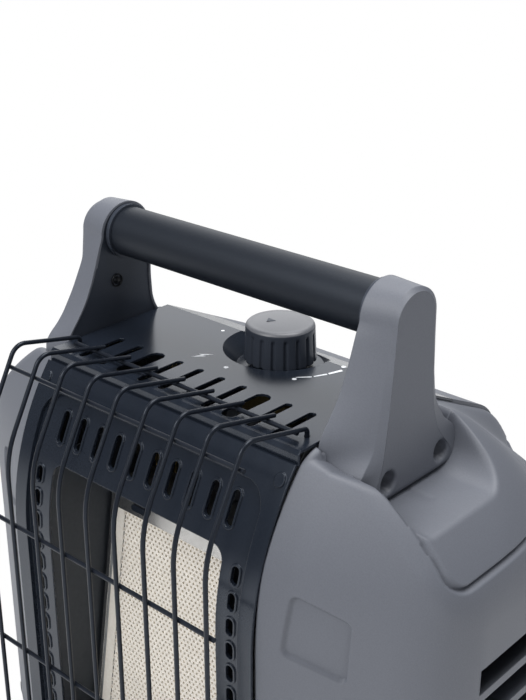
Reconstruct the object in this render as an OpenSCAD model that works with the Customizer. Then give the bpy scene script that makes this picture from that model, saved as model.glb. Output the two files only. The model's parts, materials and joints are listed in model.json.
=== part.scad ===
/* [Body] */
// Height of the flat top plate above the ground
body_h = 300; // [280:1:340]
// Overall width across both side shells
body_w = 370; // [350:1:400]
// Depth of the housing behind the handle axis
back_y = 123; // [118:1:135]
// Width of the steel front panel and top plate
panel_w = 192; // [184:1:200]
// Furthest reach of the front panel ahead of the handle axis
front_reach = 99; // [95:1:105]
// Radius of the bow in the upper front panel
bow_r = 163; // [140:1:200]
// Angle at which the side wings sweep back
wing_sweep = 27; // [22:1:32]
// Wall of the moulded shells
shell_wall = 3; // [2:0.25:4]
// Sheet thickness of the steel panels
sheet_t = 1.5; // [1:0.25:2]
// Slope of the roof behind the control knob
roof_slope = 25.5; // [22:0.5:30]

/* [Handle] */
// Height of the grip axis above the top plate
handle_rise = 57; // [50:1:70]
// Outside diameter of the foam grip
grip_d = 30; // [26:0.5:36]
// Outside diameter of the steel tube inside the grip
tube_d = 19; // [16:0.5:22]
// Thickness of each upright bracket
bracket_t = 22.5; // [18:0.5:26]
// Bevel round the outer face of a bracket
bracket_bevel = 3.4; // [1:0.2:5]

/* [Top plate] */
// Depth of the flat part of the top plate ahead of the handle axis
plate_front = 64; // [60:1:68]
// Count of the vent slots in the top plate
slot_n = 10; // [8:1:12]
// Distance between the vent slots
slot_pitch = 16.5; // [14:0.5:18]
// Width of a narrow vent slot
slot_w = 4.8; // [3:0.2:6]
// Width of a wide vent slot
slot_wide = 9.6; // [8:0.2:11]
// Length of the vent slots
slot_len = 34; // [24:1:38]
// Radius of the dish round the knob, at the plate
dish_r = 35; // [33:0.5:38]
// Depth of the dish
dish_depth = 11; // [9:0.5:13]

/* [Control knob] */
// Knob position across the plate
knob_x = 3; // [-10:1:10]
// Knob position behind the handle axis
knob_y = 28; // [24:1:32]
// Knob diameter at its foot
knob_d = 43; // [38:0.5:46]
// Knob diameter at its top
knob_top_d = 40.8; // [34:0.2:44]
// Knob height
knob_h = 23; // [20:0.5:28]
// Push travel of the knob
knob_travel = 4; // [2:0.5:5]
// Count of grip flutes on the knob
flute_n = 18; // [12:1:24]

/* [Front panel] */
// Half width of the pressed recess in the panel
recess_half = 86; // [80:1:88]
// Depth of the pressed recess
recess_depth = 3; // [1:0.5:4]
// Room between the burner tile and the side of the window
window_side = 6; // [4:0.5:8]
// Top of the burner window above the ground
window_top = 244; // [235:1:250]
// Bottom of the burner window above the ground
window_bottom = 52; // [48:1:60]
// Distance between the oval holes beside the window
oval_pitch = 14.5; // [12:0.5:20]

/* [Burner] */
// Ceramic tile width
tile_w = 124; // [110:1:128]
// Ceramic tile height
tile_h = 144; // [130:1:150]
// Ceramic tile thickness
tile_t = 12; // [10:0.5:14]
// Backward lean of the tile
tile_lean = 9; // [0:0.5:10]
// Depth of the gas plenum behind the tile
plenum_d = 24; // [20:1:26]
// Radius of the mixing tube
venturi_r = 11; // [9:0.5:12]

/* [Guard] */
// Wire diameter of the guard
wire_d = 2.6; // [2:0.1:3.2]
// Distance between the upright wires
wire_pitch = 22; // [18:0.5:22.5]
// Count of the upright wires
wire_n = 9; // [7:2:9]
// Reach of the guard ahead of the handle axis
guard_reach = 122.2; // [115:0.2:126]

/* [Gas inlet] */
// Radius of the cylinder inlet thread
inlet_r = 12.7; // [12.7:0.1:13]
// Depth of the inlet thread
inlet_len = 14; // [10:0.5:16]
// Radius of the bay for the gas cylinder
bay_r = 55; // [53:0.5:58]
// Centre of the bay behind the handle axis
bay_y = 68; // [66:0.5:72]

/* [Feet] */
// Height of the rubber feet
foot_h = 8; // [6:0.5:12]
// Radius of the rubber feet
foot_r = 12; // [9:0.5:15]

/* [Hidden] */
$fn = 64;

fit_gap = 0.3;
window_half = tile_w / 2 + window_side;
run_gap = 0.05;
front_y = -front_reach;
panel_half = panel_w / 2;
body_half = body_w / 2;
bow_z = body_h - 105;
tray_z = foot_h;
tray_t = 3;
shell_z = foot_h + 2;
far = 400;

shell_top = body_h - sheet_t - fit_gap;
shoulder_r = 182;
shoulder_x = body_half - 153;
shoulder_z = body_h - 167;
corner_r = 30;
rear_corner_r = 34;
rear_edge_r = 36;
roof_y = 31;
crown_x = 80;
crown_r = 116;
groove_in = 7;
groove_z = body_h - 59;

pocket_floor = body_h - 36;
pocket_front = -45;
pocket_back = 40;

grip_z = body_h + handle_rise;
bracket_x = panel_half + 1;
bracket_out = bracket_x + bracket_t;
head_r = 18;
back_at = 17;
bracket_foot = body_h - 36 + fit_gap;
plan_front = [-50, -29];
plan_rear = [24, 44];
cover_t = 2.4;

function front_at(z) = z < bow_z ? front_y
    : front_y + bow_r - sqrt(bow_r * bow_r - (z - bow_z) * (z - bow_z));

// Extrudes a flat (Y, Z) outline along X between two places
module along_x(x0, x1) {
    translate([x0, 0, 0]) rotate([90, 0, 90]) linear_extrude(x1 - x0) children();
}

// Extrudes a flat (X, Z) outline along Y between two places
module along_y(y0, y1) {
    translate([0, y1, 0]) rotate([90, 0, 0]) linear_extrude(y1 - y0) children();
}

// Extrudes a flat (X, Y) outline up between two heights
module along_z(z0, z1) {
    translate([0, 0, z0]) linear_extrude(z1 - z0) children();
}

// Rectangle with round corners, centred
module round_rect(w, h, r) {
    square([w - 2 * r, h], center = true);
    square([w, h - 2 * r], center = true);
    for (sx = [-1, 1], sy = [-1, 1])
        translate([sx * (w / 2 - r), sy * (h / 2 - r)]) circle(r);
}

// Straight slot with round ends along Y, centred
module slot2d(w, len) {
    square([w, len - w], center = true);
    for (s = [-1, 1]) translate([0, s * (len - w) / 2]) circle(d = w);
}

module both_sides() {
    children();
    mirror([1, 0, 0]) children();
}

// ---- Outer form of the housing ----

// Side view of everything behind the bowed front face
module bow2d(off) {
    intersection() {
        translate([front_y + bow_r, bow_z]) circle(bow_r - off, $fn = 128);
        translate([front_y, bow_z]) square([2 * bow_r, bow_r]);
    }
    translate([front_y + off, -1]) square([far, bow_z + 1]);
    translate([front_y + bow_r, bow_z - 1]) square([far, 2 * bow_r]);
}

// Side view limits at the roof and the back
module rear2d(off, top) {
    intersection() {
        translate([-far, -1]) square([far + back_y - off, top - off + 1]);
        translate([roof_y, body_h - off / cos(roof_slope)])
            rotate(-roof_slope) translate([-far, -2 * far]) square([2 * far, 2 * far]);
        rear_edge2d(off);
    }
}

// Round edge between the roof and the back
module rear_edge2d(off) {
    r = rear_edge_r;
    cy = back_y - r;
    roof_at = body_h - (cy - roof_y) * tan(roof_slope);
    cz = roof_at - r / cos(roof_slope);
    translate([cy, cz]) circle(r - off);
    translate([-far, -1]) square([far + back_y - off, cz + 1]);
    translate([-far, cz]) square([far + cy + (r - off) * sin(roof_slope), 2 * far]);
}

// Front view of one side, with the falling shoulder
module shoulder2d(off) {
    intersection() {
        union() {
            translate([shoulder_x, shoulder_z]) circle(shoulder_r - off, $fn = 160);
            translate([-1, -1]) square([far, shoulder_z + 1]);
        }
        translate([-1, -1]) square([body_half - off + 1, shell_top - off + 1]);
    }
}

// Front view of the rounded roof edge behind the knob, square to the falling roof
module crown2d(off) {
    translate([crown_x, body_h - crown_r]) circle(crown_r - off, $fn = 128);
    translate([-1, -far]) square([crown_x + 1, far + body_h - off]);
    translate([-1, -far]) square([crown_x + crown_r - off + 1, far + body_h - crown_r]);
}

// Plan of one side, with a round corner where the wing meets the flank
module plan2d(off) {
    nx = sin(wing_sweep);
    ny = -cos(wing_sweep);
    cx = body_half - corner_r;
    cy = (corner_r + (cx - panel_half) * nx) / cos(wing_sweep) + front_y;
    intersection() {
        union() {
            translate([cx, cy]) circle(corner_r - off);
            translate([-1, cy]) square([body_half - off + 1, back_y - off - rear_corner_r - cy]);
            polygon([[-1, cy], [-1, front_y - 60], [cx + (corner_r - off) * nx, cy - 60],
                [cx + (corner_r - off) * nx, cy]]);
            translate([-1, cy]) square([body_half - rear_corner_r + 1, back_y - off - cy]);
            translate([body_half - rear_corner_r, back_y - rear_corner_r]) circle(rear_corner_r - off);
        }
        translate([panel_half, front_y]) rotate(wing_sweep)
            translate([-far, off]) square([2 * far, 2 * far]);
    }
}

// Whole right side of the housing, shrunk by off
module side_form(off) {
    intersection() {
        translate([panel_half, front_y, 0]) rotate([0, 0, wing_sweep])
            translate([0, -front_y, 0]) along_x(-150, 200) bow2d(off);
        along_y(-200, 200) shoulder2d(off);
        along_z(0, body_h) plan2d(off);
        along_x(-1, body_half + 1) rear2d(off, shell_top);
        translate([0, roof_y, body_h]) rotate([-roof_slope, 0, 0]) translate([0, 0, -body_h])
            along_y(-far, far) crown2d(off);
    }
}

function unit(v) = v / norm(v);
function meet(p, a, q, b) = p + a * ((q - p) * [-b[1], b[0]]) / (a * [-b[1], b[0]]);

// What a rounding takes off a corner whose edges leave it along a and b
module corner_waste(p, a, b, r) {
    h = acos(a * b) / 2;
    m = unit(a + b);
    difference() {
        polygon([p + a * r / tan(h), p - m, p + b * r / tan(h), p + m * r / sin(h)]);
        translate(p + m * r / sin(h)) circle(r);
    }
}

pocket_gap = 0.6;
pocket_toe = [bracket_x, plan_front[0]];
pocket_heel = [bracket_out, plan_front[1]];
pocket_front_r = 10;
pocket_back_r = 24;

// Plan of the seat that the upright stands in
module seat2d(grow) {
    g = grow + pocket_gap;
    u = unit(pocket_heel - pocket_toe);
    behind = screw_y[1] + 4;
    v = unit([bracket_t, plan_rear[1] - behind]);
    p = pocket_toe + [u[1], -u[0]] * g;
    q = [bracket_x, behind] + [-v[1], v[0]] * g;
    x1 = bracket_out + g;
    polygon([p - u * 60, p + u * (x1 - p[0]) / u[0], q + v * (x1 - q[0]) / v[0], q - v * 60]);
}

// Hollow beside the upright: its flat floor runs out where the shoulder has fallen as low
module hollow(grow) {
    x0 = bracket_out - 6.5;
    floor_z = pocket_floor - grow;
    intersection() {
        along_x(x0 - grow, far) difference() {
            translate([pocket_front - grow, floor_z])
                square([pocket_back - pocket_front + 2 * grow, body_h + 20 - floor_z]);
            corner_waste([pocket_front - grow, floor_z], [1, 0], [0, 1], pocket_front_r + grow);
            corner_waste([pocket_back + grow, floor_z], [0, 1], [-1, 0], pocket_back_r + grow);
        }
        along_z(floor_z - 1, body_h + 21) polygon([[x0 - grow, 80], [x0 - grow, pocket_front + 9],
            [x0 + 11, pocket_front - 2 - grow * 1.4], [far + 1, pocket_front - 2 - grow * 1.4], [far + 1, 80]]);
    }
}

module pocket(grow) {
    along_z(pocket_floor - grow, body_h + 20) seat2d(grow);
    hollow(grow);
}

// Hollow moulding of the right side
module side_skin() {
    difference() {
        side_form(0);
        difference() {
            side_form(shell_wall);
            pocket(shell_wall);
        }
        pocket(0);
        translate([-1, -200, -1]) cube([panel_half + fit_gap + 1, far, far]);
        translate([-1, -200, -1]) cube([body_w, far, shell_z + 1]);
    }
}

// Space that belongs to the shoulder cover
module shoulder_space(clear) {
    intersection() {
        translate([panel_half, front_y, 0]) rotate([0, 0, wing_sweep])
            translate([0, -front_y, 0]) along_x(-150, 200) bow2d(groove_in - clear);
        translate([0, -far, groove_z - clear]) cube([far, 2 * far, far]);
    }
}

// Channel over the seam between shell and shoulder cover
module seam_channel() {
    difference() {
        shoulder_space(1.7);
        shoulder_space(-1.7);
        side_form(1.6);
    }
}

louvre_y0 = -24;
louvre_len = 92;
louvre_top = body_h - 106;
louvre_h = 90;
louvre_n = 4;
rear_screw_z = [60, 170];

module side_shell() {
    difference() {
        side_skin();
        shoulder_space(fit_gap / 2);
        translate([body_half - 20, louvre_y0, louvre_top - louvre_h]) cube([40, louvre_len, louvre_h]);
        badge_recess();
        seam_channel();
        for (z = rear_screw_z) translate([panel_half + 14, back_y - 10, z]) rotate([-90, 0, 0]) {
            cylinder(r = 2, h = 20);
            translate([0, 0, 9]) cylinder(r = 4, h = 10);
        }
    }
    intersection() {
        difference() {
            side_form(0.6);
            side_form(shell_wall + 5);
        }
        translate([body_half - 20, louvre_y0 - 0.5, louvre_top - louvre_h - 0.5])
            cube([40, louvre_len + 1, louvre_h + 1]);
        union() {
            for (i = [1:louvre_n]) translate([body_half, louvre_y0 - 2, louvre_top - i * louvre_h / louvre_n + 6])
                rotate([0, -32, 0]) translate([-30, 0, -6]) cube([60, louvre_len + 4, 3]);
        }
    }
}

// Shallow four-sided recess on the wing, slanted with the shoulder
module badge_recess() {
    x0 = panel_half + 13;
    z0 = body_h - 66;
    difference() {
        along_y(front_y - 20, 0) polygon([[x0 + 2, z0], [x0 + 30, z0 - 11], [x0 + 29, z0 - 46], [x0 - 1, z0 - 34]]);
        side_form(1.2);
    }
}

module right_shell() { color("#6a6e73") side_shell(); }
module left_shell() { color("#6a6e73") mirror([1, 0, 0]) side_shell(); }

module shoulder_cover() {
    difference() {
        intersection() {
            side_skin();
            shoulder_space(-fit_gap / 2);
        }
        seam_channel();
    }
}

module right_shoulder() { color("#63666b") shoulder_cover(); }
module left_shoulder() { color("#63666b") mirror([1, 0, 0]) shoulder_cover(); }

// ---- Rear cover with the cylinder bay ----

roof_end = 72;
rear_half = panel_half;
plate_under = body_h - sheet_t * 1.13 - fit_gap;
pipe_x = -51;
bay_top = body_h - 65;

module bay(grow) {
    translate([0, bay_y, -1]) cylinder(r = bay_r + grow, h = bay_top + 1 + grow);
    translate([-bay_r - grow, bay_y, -1]) cube([2 * (bay_r + grow), far, bay_top + 1 + grow]);
}

module rear_cover() {
    color("#606469") difference() {
        intersection() {
            along_x(-rear_half, rear_half) rear2d(0, shell_top);
            translate([-far, bay_y - bay_r - shell_wall, 0]) cube([2 * far, far, far]);
        }
        difference() {
            intersection() {
                along_x(-rear_half + shell_wall, rear_half - shell_wall) rear2d(shell_wall, shell_top);
                translate([-far, bay_y - bay_r - 20, -1]) cube([2 * far, far, far]);
            }
            bay(shell_wall);
        }
        bay(0);
        along_x(-far, far) polygon([[0, far], [roof_end, far], [roof_end, plate_under - (roof_end - roof_y) * tan(roof_slope)],
            [roof_y, plate_under], [0, plate_under]]);
        translate([knob_x, knob_y, bay_top + 12]) cylinder(r = dish_r + 4, h = far);
        translate([pipe_x, bay_y, bay_top - 5]) cylinder(r = 3.2, h = 20);
        translate([-far, -far, -1]) cube([2 * far, 2 * far, tray_z + tray_t + 1]);
        translate([-far, screw_y[1], screw_z]) rotate([0, 90, 0]) cylinder(r = 2.4, h = 2 * far);
        for (s = [-1, 1], i = [0:4])
            translate([s * 76 - 12, back_y - 10, 70 + i * 22]) cube([24, 20, 7]);
    }
}

// ---- Base ----

module base_outline2d(off) {
    difference() {
        union() {
            plan2d(off);
            mirror([1, 0]) plan2d(off);
            translate([-panel_half, front_y + off]) square([panel_w, 60]);
        }
        translate([-far, front_y - far + off]) square([2 * far, far]);
    }
}

module base_tray() {
    color("#3a3d42") difference() {
        union() {
            along_z(tray_z, tray_z + tray_t) base_outline2d(shell_wall + fit_gap);
            for (s = [-1, 1], y = [-20, 84])
                translate([s * 150, y, tray_z + tray_t]) cylinder(r = 7, h = 14);
        }
        for (i = [-4:4]) translate([i * 14, -52, tray_z - 1]) cylinder(d = 6, h = tray_t + 2);
    }
}

feet_at = [[-150, -20], [150, -20], [-150, 84], [150, 84]];

module rubber_feet() {
    color("#1d1e20") for (p = feet_at) translate([p[0], p[1], 0]) rotate_extrude()
        polygon([[0, 0], [foot_r - 1.5, 0], [foot_r, 1.5], [foot_r - 1, foot_h], [0, foot_h]]);
}

// ---- Front panel ----

module panel_sheet(off, x_half) {
    intersection() {
        along_x(-x_half, x_half) difference() {
            bow2d(off);
            bow2d(off + sheet_t);
        }
        translate([-far, -far, tray_z + tray_t]) cube([2 * far, far + bow_r / 4, body_h - 6.6 - tray_z - tray_t]);
    }
}

recess_top = body_h - 19;
recess_bottom = 36;

module recess2d(grow) {
    translate([0, (recess_top + recess_bottom) / 2])
        round_rect(2 * (recess_half + grow), recess_top - recess_bottom + 2 * grow, 14 + grow);
}

module slots2d(grow) {
    for (i = [0:9]) translate([(i - 4.5) * top_slot_pitch, top_slot_z])
        slot2d(top_slot_w + 2 * grow, top_slot_len + 2 * grow);
    for (s = [-1, 1], i = [0:oval_n - 1]) translate([s * oval_x, top_slot_z - 30 - i * oval_pitch])
        slot2d(5 + 2 * grow, 10 + 2 * grow);
}

module window2d() {
    translate([0, (window_top + window_bottom) / 2])
        round_rect(2 * window_half, window_top - window_bottom, 8);
}

top_slot_z = body_h - 36;
top_slot_len = 18;
top_slot_w = 5;
top_slot_pitch = 14.9;
oval_x = 78.5;
oval_n = 14;

module front_panel() {
    color("#3b4148") difference() {
        union() {
            difference() {
                panel_sheet(0, panel_half);
                along_y(-200, 0) recess2d(0);
            }
            intersection() {
                panel_sheet(recess_depth, panel_half);
                along_y(-200, 0) recess2d(0);
            }
            intersection() {
                panel_sheet(recess_depth - 0.7, panel_half);
                along_y(-200, 0) slots2d(1.2);
            }
            intersection() {
                panel_sheet(-0.9, panel_half);
                along_y(-200, 0) for (s = [-1, 1]) translate([s * (panel_half - 5.2), body_h - 14]) circle(3.2);
            }
            intersection() {
                along_x(-panel_half, panel_half) difference() {
                    bow2d(0);
                    bow2d(recess_depth + sheet_t);
                }
                along_y(-200, 0) difference() {
                    recess2d(sheet_t);
                    recess2d(0);
                }
            }
        }
        along_y(-200, 0) window2d();
        along_y(-200, 0) slots2d(0);
    }
}

// ---- Top plate ----

lip_h = 8;
lip_gap = 2;

module plate_sheet() {
    t = sheet_t;
    roof_run = roof_end - fit_gap - roof_y;
    drop = roof_run * tan(roof_slope);
    along_x(-panel_half, panel_half) polygon([
        [-plate_front, body_h - lip_h], [-plate_front + t, body_h - lip_h], [-plate_front + t, body_h - t],
        [roof_y - t * 0.25, body_h - t], [roof_y + roof_run, body_h - t * 1.13 - drop],
        [roof_y + roof_run, body_h - drop], [roof_y, body_h], [-plate_front + 2, body_h],
        [-plate_front, body_h - 2]]);
}

dish_floor = body_h - dish_depth;
dish_in = 26;

module top_plate() {
    color("#3b4148") difference() {
        union() {
            difference() {
                plate_sheet();
                translate([knob_x, knob_y, dish_floor - sheet_t])
                    cylinder(r1 = dish_in + 1, r2 = dish_r, h = dish_depth + sheet_t + 0.01);
            }
            intersection() {
                translate([knob_x, knob_y, 0]) rotate_extrude() polygon([
                    [0, dish_floor - sheet_t], [dish_in + 1, dish_floor - sheet_t], [dish_r + 0.6, body_h - sheet_t],
                    [dish_r + 0.6, body_h], [dish_r - 1, body_h], [dish_in, dish_floor], [0, dish_floor]]);
                along_x(-panel_half, panel_half) polygon([[-30, 0], [roof_end, 0],
                    [roof_end, body_h - (roof_end - roof_y) * tan(roof_slope)], [roof_y, body_h], [-30, body_h]]);
            }
        }
        translate([knob_x, knob_y, 0]) cylinder(r = 7 + run_gap, h = body_h + 10);
        for (i = [0:slot_n - 1])
            translate([(i - (slot_n - 1) / 2) * slot_pitch, 4.5 - plate_front + slot_len / 2, body_h - 5])
                along_z(0, 10) slot2d(i == 2 || i == slot_n - 3 ? slot_wide : slot_w, slot_len);
        for (s = [-1, 1]) translate([s * 4 * wire_pitch, tip_y, body_h - 5]) cylinder(d = wire_d + 0.6, h = 10);
    }
}

// ---- Side frames of the chassis ----

frame_x = panel_half - 1.6;

module side_frames() {
    color("#8d9196") both_sides() difference() {
        intersection() {
            along_x(frame_x - sheet_t, frame_x) difference() {
                bow2d(recess_depth + sheet_t + fit_gap);
            }
            translate([0, -far, tray_z + tray_t]) cube([far, far + 8, shell_top - tray_z - tray_t]);
        }
        translate([0, -40, 110]) rotate([0, 90, 0]) cylinder(r = 22, h = far);
        translate([0, -40, 190]) rotate([0, 90, 0]) cylinder(r = 16, h = far);
        for (y = screw_y) translate([0, y, screw_z]) rotate([0, 90, 0]) cylinder(r = 2, h = far);
    }
}

// ---- Handle ----

screw_y = [-20.5, 27];
screw_z = body_h - 26;

flank_r = 120;
flank_at = [-(flank_r + head_r - 1) * cos(11.5), grip_z + (flank_r + head_r - 1) * sin(11.5)];
heel_r = 27;
heel_at = [back_at + heel_r, grip_z - 39];

// Side view of an upright: round head, hollow front flank and a heel swept back over the pocket
module upright2d(off) {
    translate([0, grip_z]) circle(head_r - off);
    difference() {
        translate([plan_front[0] + off, bracket_foot]) square([plan_rear[1] - plan_front[0] - 2 * off, grip_z - bracket_foot]);
        translate(flank_at) circle(flank_r + off, $fn = 128);
        translate(heel_at) circle(heel_r + off);
        translate([back_at - off, heel_at[1]]) square([far, far]);
        corner_waste([plan_rear[1] - off, bracket_foot], [0, 1], [-1, 0], 5);
    }
}

module bracket_form() {
    b = bracket_bevel;
    difference() {
        along_x(bracket_x, bracket_out) upright2d(0);
        along_z(bracket_foot - 1, grip_z) {
            polygon([[bracket_x, plan_front[0]], [bracket_out + 1, plan_front[1] + 1], [bracket_out + 1, -90], [bracket_x, -90]]);
            polygon([[bracket_x, plan_rear[0]], [bracket_out + 1, plan_rear[1] + 1], [bracket_out + 1, 90], [bracket_x, 90]]);
            polygon([[bracket_out - b, plan_front[1] - 9], [bracket_out - b, plan_front[1]],
                [bracket_out + 1, plan_front[1] + b + 1], [bracket_out + 1, plan_front[1] - 9]]);
        }
        translate([bracket_out, flank_at[0], flank_at[1]]) rotate([0, 90, 0]) rotate_extrude($fn = 128)
            polygon([[flank_r - 3, 1], [flank_r + b + 1, 1], [flank_r - 3, -b - 3]]);
        translate([bracket_out, 0, grip_z]) rotate([0, 90, 0]) rotate([0, 0, 90]) rotate_extrude(angle = 180)
            polygon([[head_r - b, 0.01], [head_r + 1, 0.01], [head_r + 1, -b - 1]]);
    }
}

// Inlaid cover on the inner face, inside the outline by the same margin all round
module cover_form(grow) {
    along_x(bracket_x, bracket_x + cover_t + grow) intersection() {
        upright2d(2 - grow);
        translate([-far, body_h + 4 - grow]) square([2 * far, far]);
        translate([-40, 0]) square([40 + back_at - 2 + grow, far]);
    }
}

module bracket() {
    difference() {
        bracket_form();
        cover_form(0.15);
        translate([bracket_x - 1, 0, grip_z]) rotate([0, 90, 0]) cylinder(d = tube_d + 0.2, h = 16);
        translate([bracket_x - 1, 5, grip_z - 30]) rotate([0, 90, 0]) cylinder(r = 1.65, h = 12);
        for (y = screw_y) translate([0, y, screw_z]) rotate([0, 90, 0]) {
            cylinder(r = 2.6, h = far);
            translate([0, 0, bracket_out - 9]) cylinder(r = 5.4, h = 30);
            translate([0, 0, bracket_out - 1.4]) cylinder(r1 = 5.4, r2 = 6.9, h = 1.41);
        }
    }
}

module right_bracket() { color("#6a6e73") bracket(); }
module left_bracket() { color("#6a6e73") mirror([1, 0, 0]) bracket(); }

module bracket_covers() {
    color("#34383e") both_sides() difference() {
        cover_form(0);
        translate([0, 0, grip_z]) rotate([0, 90, 0]) cylinder(d = tube_d + 0.2, h = far);
        translate([0, 5, grip_z - 30]) rotate([0, 90, 0]) cylinder(r = 1.7, h = far);
        translate([bracket_x - 2, -12, grip_z - 22]) cube([3, 6, 5]);
    }
}

module handle_tube() {
    color("#9a9da1") difference() {
        translate([-bracket_x - 14, 0, grip_z]) rotate([0, 90, 0]) cylinder(d = tube_d, h = 2 * (bracket_x + 14));
        translate([-far, 0, grip_z]) rotate([0, 90, 0]) cylinder(d = tube_d - 3, h = 2 * far);
    }
}

module foam_grip() {
    half = bracket_x - 3;
    color("#22252b") difference() {
        translate([-half, 0, grip_z]) rotate([0, 90, 0]) cylinder(d = grip_d, h = 2 * half);
        translate([-far, 0, grip_z]) rotate([0, 90, 0]) cylinder(d = tube_d + 0.1, h = 2 * far);
    }
}

module grip_collars() {
    color("#2c3036") both_sides() translate([bracket_x - 2.9, 0, grip_z]) rotate([0, 90, 0]) difference() {
        cylinder(d = grip_d + 3, h = 2.8);
        translate([0, 0, -1]) cylinder(d = tube_d + 0.1, h = 6);
    }
}

module screw(len, r, head_r, head_h) {
    rotate([0, 90, 0]) {
        difference() {
            cylinder(r = head_r, h = head_h);
            translate([0, 0, head_h - 1.2]) for (a = [0, 90]) rotate(a) cube([head_r * 1.3, 0.9, 4], center = true);
        }
        translate([0, 0, -len]) cylinder(r = r, h = len + 0.1);
    }
}

module bracket_screws() {
    color("#2b2d30") both_sides() for (y = screw_y)
        translate([bracket_out - 8.8, y, screw_z]) screw(bracket_out - 8.8 - frame_x + 5, 1.95, 4.4, 3);
}

module cover_screws() {
    color("#b9bcc0") both_sides() translate([bracket_x - 0.1, 5, grip_z - 30]) mirror([1, 0, 0])
        translate([0, 0, 0]) screw(cover_t + 6, 1.6, 2.8, 1.4);
}

// ---- Control knob and valve ----

knob_z = dish_floor + knob_travel + 0.7;
nut_h = 4;
neck_top = dish_floor + nut_h + 2.5;
washer_z = neck_top + knob_travel + 5;
washer_t = 1.2;
stem_r = 3;

module at_knob() { translate([knob_x, knob_y, 0]) children(); }

module control_knob() {
    r0 = knob_d / 2;
    r1 = knob_top_d / 2;
    hub_z = washer_z + washer_t + 0.2;
    top = knob_z + knob_h;
    color("#3a3f47") at_knob() difference() {
        union() {
            difference() {
                rotate_extrude() polygon([[0, knob_z], [r0, knob_z], [r1, top - 3], [r1 - 0.8, top - 1.2],
                    [r1 - 2.6, top], [0, top]]);
                translate([0, 0, knob_z - 1]) cylinder(r = r1 - 4, h = knob_h - 3);
            }
            translate([0, 0, hub_z]) cylinder(r = 7.5, h = top - 3 - hub_z);
        }
        translate([0, 0, knob_z]) cylinder(r = stem_r, h = top - 6 - knob_z);
        for (i = [0:flute_n - 1]) rotate(i * 360 / flute_n + 6) translate([r0 + 0.5, 0, knob_z - 1])
            rotate([0, -atan((r0 - r1) / (knob_h - 3)), 0]) cylinder(r = 1.5, h = knob_h - 4, $fn = 16);
    }
}

module valve_stem() {
    color("#c8b06a") at_knob() {
        translate([0, 0, body_h - 30]) cylinder(r = stem_r - run_gap, h = knob_z + knob_h - 6.4 - knob_travel - body_h + 30);
    }
}

module push_washer() {
    color("#b9bcc0") at_knob() translate([0, 0, washer_z]) difference() {
        cylinder(r = 8, h = washer_t);
        translate([0, 0, -1]) cylinder(r = stem_r, h = 4);
    }
}

module knob_spring() {
    turns = 4;
    wire = 1.1;
    r = 5.6;
    h = washer_z - neck_top;
    n = 14;
    sides = 8;
    function ring(i) = let (a = i * 360 / n, z = wire / 2 + 0.05 + (h - wire - 0.1) * i / (turns * n))
        [for (k = [0:sides - 1]) let (q = k * 360 / sides)
            [(r + wire / 2 * cos(q)) * cos(a), (r + wire / 2 * cos(q)) * sin(a), z + wire / 2 * sin(q)]];
    count = turns * n;
    pts = [for (i = [0:count]) each ring(i)];
    faces = concat([[for (k = [0:sides - 1]) k]],
        [for (i = [0:count - 1], k = [0:sides - 1]) let (a = i * sides + k, b = i * sides + (k + 1) % sides)
            [a, a + sides, b + sides, b]],
        [[for (k = [sides - 1:-1:0]) count * sides + k]]);
    color("#c9ccd0") at_knob() translate([0, 0, neck_top]) polyhedron(pts, faces);
}

valve_w = 34;
valve_d = 30;
valve_z = body_h - 44;
valve_top = dish_floor - sheet_t;

module gas_valve() {
    color("#a9894c") at_knob() difference() {
        union() {
            translate([-valve_w / 2, -valve_d / 2, valve_z]) cube([valve_w, valve_d, valve_top - valve_z - 6]);
            translate([0, 0, valve_top - 6.1]) cylinder(r = 13, h = 6.1);
            translate([0, 0, valve_top]) cylinder(r = 7, h = neck_top - valve_top);
            translate([-valve_w / 2 - 8, 0, valve_z + 10]) rotate([0, 90, 0]) cylinder(r = 5, h = 8.1);
            translate([valve_w / 2 - 0.1, 0, valve_z + 10]) rotate([0, 90, 0]) cylinder(r = 5, h = 8);
            translate([0, valve_d / 2 + 7.9, valve_z + 10]) rotate([90, 0, 0]) cylinder(r = 5, h = 8);
        }
        translate([0, 0, body_h - 35]) cylinder(r = stem_r, h = 60);
    }
}

module valve_nut() {
    color("#b9bcc0") at_knob() translate([0, 0, dish_floor]) difference() {
        cylinder(r = 9, h = nut_h, $fn = 6);
        translate([0, 0, -1]) cylinder(r = 7, h = nut_h + 2);
    }
}

module piezo_igniter() {
    color("#d8d3c4") at_knob() translate([valve_w / 2 + 15, -2, valve_z - 6]) {
        cylinder(r = 7, h = 24);
        translate([0, 0, 24]) cylinder(r = 4, h = 8);
        translate([0, 0, -6]) cylinder(r = 2, h = 6.1);
        translate([-7.1, -3, 14]) cube([7.1, 6, 5]);
    }
}

// ---- Burner ----

tile_y = -59;
tile_z = body_h - 167;

// Moves children from the tile's own frame, its front face at y = 0
module at_tile() {
    translate([0, tile_y, tile_z]) rotate([-tile_lean, 0, 0]) children();
}

module burner_tile() {
    color("#e4dfcf") at_tile() translate([-tile_w / 2, 0, -tile_h / 2]) cube([tile_w, tile_t, tile_h]);
}

module tile_clamp() {
    w = tile_w + 8;
    color("#c3c6ca") at_tile() {
        translate([-w / 2, -1.2, tile_h / 2 - 4]) cube([w, 1.2, 17]);
        translate([-w / 2, -1.2, -tile_h / 2 - 9]) cube([w, 1.2, 13]);
        for (s = [-1, 1]) translate([s * (tile_w / 2 + 2.6) - 1.4, -1.2, -tile_h / 2 - 9]) cube([2.8, 1.2, tile_h + 22]);
    }
}

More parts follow.
